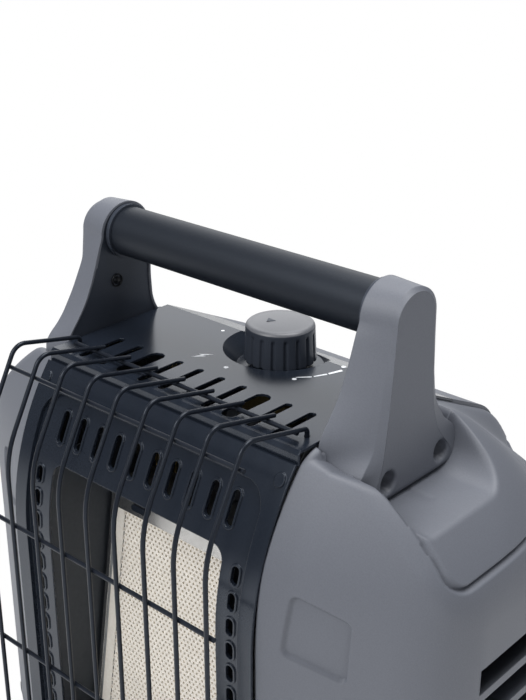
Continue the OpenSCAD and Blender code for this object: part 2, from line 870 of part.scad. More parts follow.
module burner_plenum() {
    w = tile_w + 8;
    h = tile_h + 22;
    color("#777b80") at_tile() difference() {
        translate([-w / 2, 0, -tile_h / 2 - 9]) cube([w, tile_t + plenum_d, h]);
        translate([-tile_w / 2, -1, -tile_h / 2]) cube([tile_w, tile_t + 1, tile_h]);
        translate([-tile_w / 2 + 5, tile_t - 1, -tile_h / 2 + 5]) cube([tile_w - 10, plenum_d - 1, tile_h - 10]);
        translate([30, tile_t + plenum_d - 4, -20]) rotate([-90, 0, 0]) cylinder(r = venturi_r - 2, h = 10);
    }
}

venturi_z = body_h - 187;
venturi_y = -8;

module venturi_tube() {
    color("#8d9196") difference() {
        union() {
            translate([-56, venturi_y, venturi_z]) rotate([0, 90, 0]) cylinder(r = venturi_r, h = 106);
            translate([-64, venturi_y, venturi_z]) rotate([0, 90, 0]) cylinder(r1 = venturi_r + 4, r2 = venturi_r, h = 8.01);
            at_tile() translate([30, tile_t + plenum_d, -20]) rotate([-90, 0, 0]) cylinder(r = venturi_r, h = 19);
        }
        translate([-57, venturi_y, venturi_z]) rotate([0, 90, 0]) cylinder(r = venturi_r - 1.5, h = 105);
        translate([-65, venturi_y, venturi_z]) rotate([0, 90, 0]) cylinder(r1 = venturi_r + 3, r2 = venturi_r - 1.5, h = 10);
        at_tile() translate([30, tile_t + plenum_d - 1, -20]) rotate([-90, 0, 0]) cylinder(r = venturi_r - 2, h = 18);
    }
}

module gas_jet() {
    color("#b8964e") translate([-83, venturi_y, venturi_z]) rotate([0, 90, 0]) {
        difference() {
            union() {
                cylinder(r = 5.5, h = 10, $fn = 6);
                translate([0, 0, 10]) cylinder(r1 = 4, r2 = 2.2, h = 8);
            }
            translate([0, 0, -1]) cylinder(r = 0.8, h = 30);
        }
    }
}

module jet_bracket() {
    color("#8d9196") difference() {
        translate([-72, venturi_y - 15, tray_z + tray_t]) cube([sheet_t, 26, venturi_z - tray_z - tray_t + 14]);
        translate([-90, venturi_y, venturi_z]) rotate([0, 90, 0]) cylinder(r = 4.6, h = 20);
    }
    color("#8d9196") translate([-72, venturi_y - 15, tray_z + tray_t]) cube([14, 26, sheet_t]);
}

// Pipe of straight runs joined by true bends
module pipe(p, r, bend) {
    n = len(p);
    function unit3(v) = v / norm(v);
    function turn(i) = acos(unit3(p[i] - p[i - 1]) * unit3(p[i + 1] - p[i]));
    function cut(i) = i == 0 || i == n - 1 ? 0 : bend * tan(turn(i) / 2);
    for (i = [0:n - 2]) {
        d = unit3(p[i + 1] - p[i]);
        l = norm(p[i + 1] - p[i]) - cut(i) - cut(i + 1);
        translate(p[i] + d * cut(i)) rotate([0, acos(d[2]), atan2(d[1], d[0])])
            cylinder(r = r, h = l, $fn = 16);
    }
    for (i = [1:n - 2]) {
        v = unit3(p[i] - p[i - 1]);
        w = unit3(cross(v, p[i + 1] - p[i]));
        u = cross(v, w);
        c = p[i] - v * cut(i) - u * bend;
        multmatrix([[u[0], v[0], w[0], c[0]], [u[1], v[1], w[1], c[1]], [u[2], v[2], w[2], c[2]], [0, 0, 0, 1]])
            rotate_extrude(angle = turn(i), $fn = 48) translate([bend, 0]) circle(r, $fn = 16);
    }
}

module burner_pipe() {
    vx = knob_x - valve_w / 2 - 8;
    color("#b8964e") pipe([[vx, knob_y, valve_z + 10], [-89, knob_y, valve_z + 10], [-89, knob_y, venturi_z],
        [-89, venturi_y, venturi_z], [-83, venturi_y, venturi_z]], 2.4, 5.5);
}

pilot_y = -82;
pilot_plate_z = 55;

module pilot_burner() {
    color("#a7abb0") translate([0, pilot_y, 0]) difference() {
        union() {
            translate([-46, 0, 46]) cylinder(r = 5, h = 16);
            translate([-46, 0, 62]) cylinder(r1 = 5, r2 = 3, h = 4);
            translate([-tile_w / 2 - 4, -5, pilot_plate_z]) cube([tile_w / 2 - 22, 14.4, 2]);
        }
        translate([-32, 0, 40]) cylinder(r = 2.62, h = 40);
        translate([-60, 0, 40]) cylinder(r = 1.82, h = 40);
    }
}

module pilot_pipe() {
    px = knob_x - 8;
    color("#b8964e") pipe([[-46, pilot_y, 46], [-46, pilot_y, 34], [-46, 6, 34], [-84, 6, 34], [-84, 6, valve_z - 8],
        [px, 6, valve_z - 8], [px, knob_y - 8, valve_z - 8], [px, knob_y - 8, valve_z]], 1.3, 4);
}

module spark_electrode() {
    color("#efece4") translate([-32, pilot_y, 45]) {
        cylinder(r = 2.6, h = 18);
        translate([0, 0, 18]) cylinder(r = 0.9, h = 9);
    }
}

module thermocouple() {
    color("#b37a4c") translate([-60, pilot_y, 48]) {
        cylinder(r = 1.8, h = 22);
        translate([0, 0, -6]) cylinder(r = 3, h = 6.1);
    }
}

module burner_stand() {
    color("#8d9196") both_sides() difference() {
        translate([10, -66, tray_z + tray_t]) cube([18, 26, 50]);
        translate([10 + sheet_t, -66 + sheet_t, tray_z + tray_t + sheet_t]) cube([18, 26, 50]);
        at_tile() translate([-far, -100, -tile_h / 2 - 9]) cube([2 * far, 300, far]);
    }
}

module heat_shroud() {
    color("#2f343a") both_sides() along_x(window_half + 0.3, window_half + 1.5) intersection() {
        polygon([[-90, window_top + 4], [-110, window_bottom], [-62, window_bottom - 4], [-26, window_bottom - 4],
            [-26, window_top + 4]]);
        bow2d(recess_depth + sheet_t + fit_gap);
    }
}

module heat_deflector() {
    color("#2f343a") along_x(-window_half, window_half)
        polygon([[-85.6, window_top + 1], [-85.6, window_top + 2.5], [-46.6, 221], [-46.6, 219.5]]);
}

// ---- Gas inlet ----

reg_r = 24;
reg_body_r = 13;
neck_r = inlet_r + 3.8;
neck_len = 36;
reg_z = bay_top - neck_r - 7.5;

// At rest the inlet faces out of the bay; it swings down with the cylinder on it
module regulator() {
    color("#8f9296") translate([0, bay_y, reg_z]) difference() {
        union() {
            translate([-reg_r + 0.4, 0, 0]) rotate([0, 90, 0]) cylinder(r = reg_body_r, h = 2 * reg_r - 0.8);
            rotate([-90, 0, 0]) cylinder(r = neck_r - 2, h = neck_len - 14);
            translate([0, neck_len - 16, 0]) rotate([-90, 0, 0]) cylinder(r = neck_r, h = 16);
        }
        translate([0, neck_len - inlet_len, 0]) rotate([-90, 0, 0]) cylinder(r = inlet_r, h = inlet_len + 1);
        translate([-far, 0, 0]) rotate([0, 90, 0]) cylinder(r = 4 + run_gap, h = 2 * far);
    }
}

module regulator_yoke() {
    color("#8d9196") translate([0, bay_y, 0]) difference() {
        union() {
            for (s = [-1, 1]) translate([s * (reg_r + 2) - 1.25, -10, reg_z - 8]) cube([2.5, 20, bay_top - reg_z + 8]);
            translate([-reg_r - 3.25, -10, bay_top - 2.5]) cube([2 * (reg_r + 3.25), 20, 2.5]);
        }
        translate([-far, 0, reg_z]) rotate([0, 90, 0]) cylinder(r = 4, h = 2 * far);
    }
}

module pivot_pin() {
    color("#b9bcc0") translate([-reg_r - 6, bay_y, reg_z]) rotate([0, 90, 0]) cylinder(r = 4, h = 2 * reg_r + 12);
}

module inlet_fitting() {
    color("#b8964e") translate([-reg_r - 20, bay_y, reg_z]) rotate([0, 90, 0]) difference() {
        cylinder(r = 8, h = 16.5, $fn = 6);
        translate([0, 0, 14]) cylinder(r = 4.02, h = 10);
    }
}

module supply_pipe() {
    color("#b8964e") pipe([[-reg_r - 20, bay_y, reg_z], [pipe_x, bay_y, reg_z], [pipe_x, bay_y, valve_z + 10],
        [knob_x, bay_y, valve_z + 10], [knob_x, knob_y + valve_d / 2 + 7.9, valve_z + 10]], 2.4, 5.5);
}

module tilt_switch() {
    color("#2b2d30") translate([101.5, -52, tray_z + tray_t]) {
        cube([26, 20, 30]);
        translate([-6, 4, 0]) cube([38, 12, 2]);
    }
}

// ---- Wire guard ----

wire_r = wire_d / 2;
lap = 0.15;
tip_y = -48;
tip_z = body_h + 4.4;
bend_y = -94;
bend_z = body_h + 14.5;
turn_z = body_h - 38;
foot_wire_z = 26;
guard_path = [[bend_y, bend_z], [-guard_reach, turn_z], [-guard_reach, foot_wire_z], [front_y - 0.3, foot_wire_z - 4]];

// Bent wire in the YZ plane: straight runs joined by true arcs
module bent_wire(p, radii) {
    n = len(p);
    function cut(i) = i == 0 || i == n - 1 ? 0
        : let (a = unit(p[i] - p[i - 1]), b = unit(p[i + 1] - p[i]), t = acos(a * b)) radii[i] * tan(t / 2);
    for (i = [0:n - 2]) {
        d = unit(p[i + 1] - p[i]);
        over = i > 0 ? lap : 0;
        a = p[i] + d * (cut(i) - over);
        l = norm(p[i + 1] - p[i]) - cut(i) - cut(i + 1) + over + (i < n - 2 ? lap : 0);
        translate([0, a[0], a[1]]) rotate([atan2(-d[0], d[1]), 0, 0]) cylinder(r = wire_r, h = l, $fn = 13);
    }
    for (i = [1:n - 2]) {
        a = unit(p[i] - p[i - 1]);
        b = unit(p[i + 1] - p[i]);
        t = acos(a * b);
        side = a[0] * b[1] - a[1] * b[0] > 0 ? 1 : -1;
        s = p[i] - a * cut(i);
        nrm = [-a[1], a[0]] * side;
        c = s + nrm * radii[i];
        start = atan2(s[1] - c[1], s[0] - c[0]);
        translate([0, c[0], c[1]]) rotate([90, 0, 90]) rotate(side > 0 ? start : start - t)
            rotate_extrude(angle = t, $fn = 40) translate([radii[i], 0]) circle(wire_r + 0.04, $fn = 13);
    }
}

module cross_wire(y, z, half) {
    translate([-half, y, z]) rotate([0, 90, 0]) cylinder(r = wire_r, h = 2 * half, $fn = 13);
}

cross_z = [body_h - 84, body_h - 171, body_h - 256];

module guard_uprights() {
    half = (wire_n - 1) / 2 * wire_pitch;
    color("#2c3036") {
        for (i = [1:wire_n - 2]) translate([(i - (wire_n - 1) / 2) * wire_pitch, 0, 0])
            bent_wire([[tip_y, tip_z], each guard_path], [0, 9, 60, 10, 0]);
        for (s = [-1, 1]) translate([s * half, 0, 0])
            bent_wire([[tip_y, body_h - 4.5], [tip_y, tip_z], each guard_path], [0, 3, 9, 60, 10, 0]);
    }
}

module guard_crosswires() {
    half = (wire_n - 1) / 2 * wire_pitch;
    color("#2c3036") {
        cross_wire(tip_y - 5, tip_z - wire_d + 1, half - 2);
        cross_wire(-97.6, body_h + 1.1, half + 3);
        for (z = cross_z) cross_wire(-guard_reach + wire_d, z, half + 3);
    }
}

module guard_clips() {
    half = (wire_n - 1) / 2 * wire_pitch;
    color("#3b4148") for (s = [-1, 1]) translate([s * half, tip_y, body_h - sheet_t - 3]) difference() {
        cylinder(r = 4, h = 3);
        translate([0, 0, -1]) cylinder(r = wire_r, h = 5);
    }
}

module shell_screws() {
    color("#2b2d30") for (s = [-1, 1], z = rear_screw_z) translate([s * (panel_half + 14), back_y - 1, z])
        rotate([0, 0, 90]) screw(12, 1.8, 3.6, 1.6);
}

base_tray();
rubber_feet();
front_panel();
top_plate();
side_frames();
left_shell();
right_shell();
left_shoulder();
right_shoulder();
rear_cover();
left_bracket();
right_bracket();
bracket_covers();
handle_tube();
foam_grip();
grip_collars();
bracket_screws();
cover_screws();
control_knob();
valve_stem();
push_washer();
knob_spring();
gas_valve();
valve_nut();
piezo_igniter();
burner_tile();
tile_clamp();
burner_plenum();
heat_shroud();
heat_deflector();
venturi_tube();
gas_jet();
jet_bracket();
burner_pipe();
pilot_burner();
pilot_pipe();
spark_electrode();
thermocouple();
burner_stand();
regulator();
regulator_yoke();
pivot_pin();
inlet_fitting();
supply_pipe();
tilt_switch();
guard_uprights();
guard_crosswires();
guard_clips();
shell_screws();
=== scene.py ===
import bmesh
import bpy
import json
import math
import numpy as np
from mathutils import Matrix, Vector


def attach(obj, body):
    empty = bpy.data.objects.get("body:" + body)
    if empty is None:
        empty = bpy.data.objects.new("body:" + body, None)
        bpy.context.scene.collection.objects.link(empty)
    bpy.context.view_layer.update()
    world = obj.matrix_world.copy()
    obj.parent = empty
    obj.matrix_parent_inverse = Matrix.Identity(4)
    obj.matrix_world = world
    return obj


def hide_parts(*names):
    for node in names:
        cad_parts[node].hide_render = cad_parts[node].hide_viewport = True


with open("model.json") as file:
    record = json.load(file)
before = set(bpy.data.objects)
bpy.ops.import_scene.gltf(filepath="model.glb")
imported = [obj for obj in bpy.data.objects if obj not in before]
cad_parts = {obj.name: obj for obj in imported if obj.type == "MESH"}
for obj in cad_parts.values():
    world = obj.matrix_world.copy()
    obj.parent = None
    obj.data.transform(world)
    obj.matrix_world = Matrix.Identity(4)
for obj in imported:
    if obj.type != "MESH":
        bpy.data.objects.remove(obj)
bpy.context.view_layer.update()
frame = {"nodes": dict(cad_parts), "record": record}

nodes = frame["nodes"]
sides = (("right", 1), ("left", -1))  # a piece on the left is the mirror image of the one on the right
print("frame loaded")


# Finishes: two close shades mixed by a fine noise, which is also a faint bump.
# Colour, darker shade, roughness, metal, grain scale, grain height in mm, radius of softened edges in mm.
finishes = {
    "grey_plastic": ((0.142, 0.152, 0.178), (0.126, 0.135, 0.160), 0.52, 0.0, 1400.0, 0.10, 0.8),
    "shoulder_plastic": ((0.150, 0.163, 0.186), (0.134, 0.146, 0.168), 0.45, 0.0, 1400.0, 0.08, 0.8),
    "dark_steel": ((0.014, 0.018, 0.027), (0.011, 0.015, 0.023), 0.20, 0.0, 900.0, 0.03, 0.6),
    "dark_plastic": ((0.036, 0.042, 0.056), (0.031, 0.037, 0.050), 0.42, 0.0, 1200.0, 0.05, 0.5),
    "foam": ((0.006, 0.008, 0.013), (0.004, 0.006, 0.010), 0.50, 0.0, 900.0, 0.10, 1.5),
    "rubber": ((0.012, 0.012, 0.013), (0.010, 0.010, 0.011), 0.75, 0.0, 500.0, 0.05, 0.5),
    "black_screw": ((0.020, 0.021, 0.024), (0.015, 0.016, 0.018), 0.35, 0.6, 900.0, 0.02, 0.2),
    "bright_screw": ((0.55, 0.55, 0.56), (0.48, 0.48, 0.49), 0.28, 1.0, 900.0, 0.01, 0.2),
    "galvanised": ((0.36, 0.37, 0.38), (0.28, 0.29, 0.30), 0.42, 1.0, 120.0, 0.01, 0.3),
    "stainless": ((0.60, 0.59, 0.57), (0.50, 0.49, 0.47), 0.26, 1.0, 300.0, 0.01, 0.2),
    "ceramic": ((0.74, 0.70, 0.60), (0.70, 0.66, 0.56), 0.85, 0.0, 500.0, 0.05, 0.3),
    "brass": ((0.56, 0.42, 0.18), (0.46, 0.34, 0.14), 0.32, 1.0, 300.0, 0.01, 0.2),
    "chamber": ((0.030, 0.034, 0.040), (0.024, 0.027, 0.032), 0.50, 0.0, 400.0, 0.02, 0.3),
    # The paler knob top is painted sheen: a lighter copy of the dark plastic that stands in for the reflection
    # on the glossy top.
    "knobSheenPainted": ((0.150, 0.155, 0.170), (0.135, 0.140, 0.155), 0.35, 0.0, 1200.0, 0.03, 0.4),
    "print": ((0.80, 0.82, 0.85), (0.72, 0.74, 0.77), 0.60, 0.0, 900.0, 0.01, 0.0),
    "tile": ((0.90, 0.85, 0.77), (0.84, 0.78, 0.69), 0.85, 0.0, 500.0, 0.03, 0.0),
    "wire": ((0.010, 0.013, 0.019), (0.008, 0.010, 0.016), 0.32, 0.0, 600.0, 0.01, 0.0),
}
coolFinishes = ("dark_steel", "dark_plastic", "foam", "wire", "chamber")
coolShine = (0.80, 0.88, 1.0, 1.0)  # the shine of the dark finishes is slightly blue
wireShine = 0.32
grain = {"detail": 3.0, "roughness": 0.5, "darkAt": 0.3, "lightAt": 0.7, "bump": 0.5, "edgeSamples": 6}


def newMaterial(name):  # a node material, its tree and its shader
    material = bpy.data.materials.new(name)
    material.use_nodes = True
    tree = material.node_tree
    return material, tree, tree.nodes["Principled BSDF"]


def addNoise(tree, scale):  # layered noise on the piece's own coordinates
    coords = tree.nodes.new("ShaderNodeTexCoord")
    noise = tree.nodes.new("ShaderNodeTexNoise")
    noise.inputs["Scale"].default_value = scale
    noise.inputs["Detail"].default_value = grain["detail"]
    noise.inputs["Roughness"].default_value = grain["roughness"]
    tree.links.new(coords.outputs["Object"], noise.inputs["Vector"])
    return noise


def mixColour(tree, factor, dark, light, target):  # dark to light as the factor rises from darkAt to lightAt
    ramp = tree.nodes.new("ShaderNodeMapRange")
    ramp.inputs["From Min"].default_value = grain["darkAt"]
    ramp.inputs["From Max"].default_value = grain["lightAt"]
    tree.links.new(factor, ramp.inputs["Value"])
    mix = tree.nodes.new("ShaderNodeMix")
    mix.data_type = "RGBA"
    mix.inputs[6].default_value = (*dark, 1.0)
    mix.inputs[7].default_value = (*light, 1.0)
    tree.links.new(ramp.outputs["Result"], mix.inputs[0])
    tree.links.new(mix.outputs[2], target)


def addBump(tree, shader, factor, height, edge):  # the factor raises the surface, whose edges look softened
    bump = tree.nodes.new("ShaderNodeBump")
    bump.inputs["Strength"].default_value = grain["bump"]
    bump.inputs["Distance"].default_value = height
    tree.links.new(factor, bump.inputs["Height"])
    if edge:
        soft = tree.nodes.new("ShaderNodeBevel")
        soft.samples = grain["edgeSamples"]
        soft.inputs["Radius"].default_value = edge
        tree.links.new(soft.outputs["Normal"], bump.inputs["Normal"])
    tree.links.new(bump.outputs["Normal"], shader.inputs["Normal"])


materials = {}
for slotName, (light, dark, rough, metal, scale, height, edge) in finishes.items():
    made, tree, shader = newMaterial(slotName)
    shader.inputs["Roughness"].default_value = rough
    shader.inputs["Metallic"].default_value = metal
    if slotName in coolFinishes:
        shader.inputs["Specular Tint"].default_value = coolShine
    if slotName == "wire":
        shader.inputs["Specular IOR Level"].default_value = wireShine
    noise = addNoise(tree, scale)
    mixColour(tree, noise.outputs["Fac"], dark, light, shader.inputs["Base Color"])
    addBump(tree, shader, noise.outputs["Fac"], height / 1000, edge / 1000)
    materials[slotName] = made

for entry in frame["record"]["subparts"]:
    cadNode = nodes[entry["node"]]
    cadNode.data.materials.clear()
    cadNode.data.materials.append(materials[entry["material_slot"]])
print("materials made")


# Meshes. Points are in mm. A grid is an array of points in rows, with a face for every four neighbours.
def gridFaces(rows, columns):
    index = np.arange(rows * columns).reshape(rows, columns)
    return np.stack([index[:-1, :-1], index[:-1, 1:], index[1:, 1:], index[1:, :-1]], -1).reshape(-1, 4)


def joinGrids(grids):  # several (points, faces) as one, with the later faces counted on
    points, faces, total = [], [], 0
    for gridPoints, gridQuads in grids:
        points.append(gridPoints)
        faces.append(gridQuads + total)
        total += len(gridPoints)
    return np.concatenate(points), np.concatenate(faces)


def joinLists(parts):  # the same for faces that differ in their number of corners
    points, faces, total = [], [], 0
    for partPoints, partFaces in parts:
        points.append(partPoints)
        faces += [[index + total for index in face] for face in partFaces]
        total += len(partPoints)
    return np.concatenate(points), faces


def mirrored(points, faces, sign):  # sign -1 swaps left and right, and turns the faces round to look outwards
    return points * (sign, 1, 1), faces[:, ::sign]


def turned(profile, count, centre):  # (distance along X, radius) carried round an axis through the centre
    along, radius = np.array(profile, float).T[:, :, None]
    turn = np.linspace(0, 2 * math.pi, count + 1)[None, :]
    points = np.stack(np.broadcast_arrays(along, radius * np.cos(turn), radius * np.sin(turn)), -1)
    return points.reshape(-1, 3) + centre, gridFaces(len(along), count + 1)[:, ::-1]


def prismY(outline, y0, y1):  # closed (X, Z) outline carried along Y, with flat ends
    x, z = np.array(outline, float).T
    count = len(x)
    points = np.concatenate([np.stack([x, np.full(count, y), z], -1) for y in (y0, y1)])
    i = np.arange(count)
    walls = np.stack([i, (i + 1) % count, (i + 1) % count + count, i + count], -1)
    return points, walls.tolist() + [list(range(count))[::-1], list(range(count, 2 * count))]


def plateZ(outline, z0, z1):  # closed (X, Y) outline carried along Z
    points, faces = prismY(outline, z0, z1)
    return points[:, [0, 2, 1]], faces


def addMesh(name, points, faces, body, slotName, smooth=True, replaced=(), finish=None):
    mesh = bpy.data.meshes.new(name)
    faceRows = faces.tolist() if isinstance(faces, np.ndarray) else faces
    mesh.from_pydata((points / 1000).tolist(), [], faceRows)
    mesh.polygons.foreach_set("use_smooth", [smooth] * len(mesh.polygons))
    mesh.update()
    piece = bpy.data.objects.new(name, mesh)
    bpy.context.scene.collection.objects.link(piece)
    mesh.materials.append(materials[finish or slotName])
    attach(piece, body)
    if replaced:
        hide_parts(*replaced)
    return piece


def addFlat(name, parts, body, slotName, finish=None):  # flat-faced piece of closed parts, turned outwards
    points, faces = joinLists(parts)
    piece = addMesh(name, points, faces, body, slotName, smooth=False, finish=finish)
    work = bmesh.new()
    work.from_mesh(piece.data)
    bmesh.ops.recalc_face_normals(work, faces=work.faces)
    work.to_mesh(piece.data)
    work.free()


# Side shells with their shoulders: one skin for both, which is the surface where shellDepth is zero.
shellSizes = {  # mm and degrees, for the right side
    "half": 185.0, "back": 123.0, "front": -99.0, "panelHalf": 96.0, "foot": 10.0, "wall": 3.0,
    "bowRadius": 163.0, "bowStart": 195.0, "sweep": 27.0, "wingBlend": 10.0,  # bowed wing, swept back
    "flankCorner": 30.0, "rearCorner": 34.0, "rimRadius": 6.5,  # plan corners, and the rim
    "fallX": 32.0, "fallZ": 133.0, "fallRadius": 182.0, "top": 298.2, "topBlend": 6.0,  # falling shoulder
    "crownX": 86.5, "crownRadius": 111.7, "crownBlend": 14.0,
    "roofFrom": 31.0, "roofHeight": 300.0, "roofSlope": 25.5, "rearEdge": 38.0, "roofBlend": 8.0,
    "twist": 13.3, "roofShift": 10.5, "twistFrom": 97.0, "twistRun": 20.0,  # the roof steepens outwards
    "seamIn": 7.0, "seamHeight": 241.0, "seamWidth": 2.0, "seamDepth": 3.0, "seamCorner": 10.0,
    "badge": [(111, 234), (139, 223), (138, 188), (108, 200)],  # (X, Z), clockwise
    "badgeDepth": 2.2, "badgeEdge": 1.1, "badgeCorner": 3.5,
    "hollowFloor": 264.0, "hollowInner": 101.0, "hollowBlend": 1.6,  # place of the handle's foot
    "hollowFront": -42.0, "frontFrom": 111.0, "frontRun": 5.0,
    "frontRadius": 7.0, "radiusFrom": 112.0, "radiusRun": 8.0, "leastRadius": 0.4,
    "footFront": -48.0, "footSweep": 0.94, "footX": 97.0,
    "hollowBack": 40.5, "hollowTurn": 0.04, "hollowX": 125.0, "backRadius": 12.0,
    "draft": 0.35, "draftTop": 288.0, "draftRun": 40.0,
    "toe": (100.4, -46.9, 289.9), "toeSlope": (0.36, 0.5), "toeSteep": 1.16,  # plane under the front foot
    "toeEnd": 110.0, "toeOuter": 135.0, "toeBack": -5.0, "toeBlend": 4.0,
    "slotFront": -24.0, "slotBack": 68.0, "slotTop": 191.5, "slotMiddle": 180.0, "slotBottom": 104.0,
    "slotIn": 5.0,
    "coreX": 150.0, "coreFront": -45.0, "coreBack": 84.0, "coreTop": 235.0, "edgeX": 96.3,  # the rays' box
    "raysAround": (100, 70, 18, 44, 8, 30, 24), "raysUp": (20, 24, 20, 76, 103, 46),
    "steps": 90, "stride": 0.85, "stepOut": 40.0, "stepBack": 2.0,
}


def roundMax(a, b, radius):  # the larger of two depths, its crease rounded by a true arc of this radius
    beyondA, beyondB = np.maximum(a + radius, 0), np.maximum(b + radius, 0)
    return np.minimum(np.maximum(a, b), -radius) + np.hypot(beyondA, beyondB)


def softMax(a, b, width):  # the larger of two depths, blended over this width where they are nearly equal
    near = np.maximum(width - np.abs(a - b), 0) / width
    return np.maximum(a, b) + near * near * width / 4


def smoothStep(value):  # 0 to 1 along 3 t^2 - 2 t^3
    t = np.clip(value, 0, 1)
    return t * t * (3 - 2 * t)


# Outside the wing's face, which is turned back by the sweep, stands upright and bends back along an arc above
# bowStart. The second depth is the same without the arc.
def wingDepth(s, x, y, z):
    turn = math.radians(s["sweep"])
    ahead = -math.sin(turn) * (x - s["panelHalf"]) + math.cos(turn) * (y - s["front"])
    bow = np.hypot(ahead - s["bowRadius"], np.maximum(z - s["bowStart"], 0)) - s["bowRadius"]
    return np.where(ahead < s["bowRadius"], bow, -ahead), -ahead


def wallDepth(s, x, y, wing, flatWing):  # outside the wing, the flank and the back
    flank = x - s["half"]
    front = softMax(wing, roundMax(flatWing, flank, s["flankCorner"]), s["wingBlend"])
    return np.maximum(front, roundMax(flank, y - s["back"], s["rearCorner"]))


# Outside the top: the falling shoulder is a tube along Y, the flat top a plane, and the roof a plane that
# slopes back and ends in an arc down to the back. The crown rounds the roof's outer edge. Outwards of
# twistFrom the roof grows steeper.
def topDepth(s, x, y, z):
    twisted = smoothStep((x - s["twistFrom"]) / s["twistRun"])
    slope = np.radians(s["roofSlope"] + s["twist"] * twisted)
    roofFrom = s["roofFrom"] + s["roofShift"] * twisted
    plane = (z - s["roofHeight"]) * np.cos(slope) + (y - roofFrom) * np.sin(slope)
    arcY = s["back"] - s["rearEdge"]
    arcZ = s["roofHeight"] - (arcY - roofFrom) * np.tan(slope) - s["rearEdge"] / np.cos(slope)
    pastPlane = (y - arcY) * np.cos(slope) - (z - arcZ) * np.sin(slope)
    arc = np.where(z < arcZ, y - s["back"], np.hypot(y - arcY, z - arcZ) - s["rearEdge"])
    roof = np.where(pastPlane < 0, plane, arc)
    radius = s["crownRadius"]
    crown = np.hypot(np.maximum(x - s["crownX"], 0), np.maximum(plane + radius, 0)) - radius
    fall = np.hypot(x - s["fallX"], np.maximum(z - s["fallZ"], 0)) - s["fallRadius"]
    depth = softMax(fall, z - s["top"], s["topBlend"])
    return softMax(softMax(depth, crown, s["crownBlend"]), roof, s["roofBlend"])


def badgeDepth(s, x, z):  # outside a four-sided figure with rounded corners, the largest of four distances
    depth = np.full_like(x, -s["half"])
    for (x0, z0), (x1, z1) in zip(s["badge"], s["badge"][1:] + s["badge"][:1]):
        beside = (-(z1 - z0) * (x - x0) + (x1 - x0) * (z - z0)) / math.hypot(x1 - x0, z1 - z0)
        depth = roundMax(depth, beside, s["badgeCorner"])
    return depth


# Outside the hollow: under its floor, before its front wall, behind its drafted back wall, or too far inwards.
# The front wall follows the handle's foot and then turns straight across.
def hollowDepth(s, x, y, z):
    under = s["hollowFloor"] - z
    foot = s["footFront"] + s["footSweep"] * (x - s["footX"])
    front = foot + (s["hollowFront"] - foot) * smoothStep((x - s["frontFrom"]) / s["frontRun"])
    radius = s["frontRadius"] * smoothStep((x - s["radiusFrom"]) / s["radiusRun"]) + s["leastRadius"]
    back = s["hollowBack"] - s["hollowTurn"] * (x - s["hollowX"])
    back = back - s["draft"] * np.clip(s["draftTop"] - z, 0, s["draftRun"])
    walls = np.maximum(roundMax(front - y, under, radius), roundMax(y - back, under, s["backRadius"]))
    return np.maximum(walls, s["hollowInner"] - x)


def toeDepth(s, x, y, z):  # above a tilted plane, within a box round the front foot
    toeX, toeY, toeZ = s["toe"]
    slopeX, slopeY = s["toeSlope"]
    above = slopeX * (np.minimum(x, s["toeEnd"]) - toeX) + slopeY * (y - toeY) + z - toeZ
    box = np.minimum(np.minimum(s["toeBack"] - y, s["toeOuter"] - x), x - toeX)
    return np.minimum(above / s["toeSteep"], box)


# The whole skin: outside the walls or the top, with the rim between them rounded. The seam and the badge
# place are pressed in, and the hollow and the toe are cut off.
def shellDepth(s, x, y, z):
    wing, flatWing = wingDepth(s, x, y, z)
    depth = roundMax(wallDepth(s, x, y, wing, flatWing), topDepth(s, x, y, z), s["rimRadius"])
    seam = roundMax(wing + s["seamIn"], s["seamHeight"] - z, s["seamCorner"])
    depth = depth + s["seamDepth"] * (1 - smoothStep(np.abs(seam) / s["seamWidth"]))
    depth = depth + s["badgeDepth"] * smoothStep(0.5 - badgeDepth(s, x, z) / s["badgeEdge"]) * (y < 0)
    depth = softMax(depth, -hollowDepth(s, x, y, z), s["hollowBlend"])
    return softMax(depth, toeDepth(s, x, y, z), s["toeBlend"])


def rowsBetween(stops, counts):  # evenly spaced rows from each stop to the next, and the last stop
    parts = [np.linspace(here, there, count, endpoint=False)
             for here, there, count in zip(stops, stops[1:], counts)]
    return np.concatenate(parts + [np.array(stops[-1:], float)])


# Rays leave a core box. Across the grid they go round the box's plan and fan at its corners. Up the grid they
# rise along its wall, fan over its top edge, and close in on the middle of its top.
def shellRays(s):
    edge, core, front, back, top = s["edgeX"], s["coreX"], s["coreFront"], s["coreBack"], s["coreTop"]
    plan = [(edge, front, -90), (core, front, -90), (core, front, 0), (core, s["slotFront"], 0),
            (core, s["slotBack"], 0), (core, back, 0), (core, back, 90), (edge, back, 90)]
    levels = [(s["foot"], 0, 0), (s["slotBottom"], 0, 0), (s["slotMiddle"], 0, 0), (s["slotTop"], 0, 0),
              (top, 0, 0), (top, 90, 0), (top, 90, 1)]
    x, y, turn = rowsBetween(plan, s["raysAround"]).T[:, None, :]
    z, rise, inward = rowsBetween(levels, s["raysUp"]).T[:, :, None]
    turn, rise = np.radians(turn), np.radians(rise)
    start = (x + (edge - x) * inward, y + ((front + back) / 2 - y) * inward, z)
    way = (np.cos(turn) * np.cos(rise), np.sin(turn) * np.cos(rise), np.sin(rise))
    return np.stack(np.broadcast_arrays(*start), -1), np.stack(np.broadcast_arrays(*way), -1)


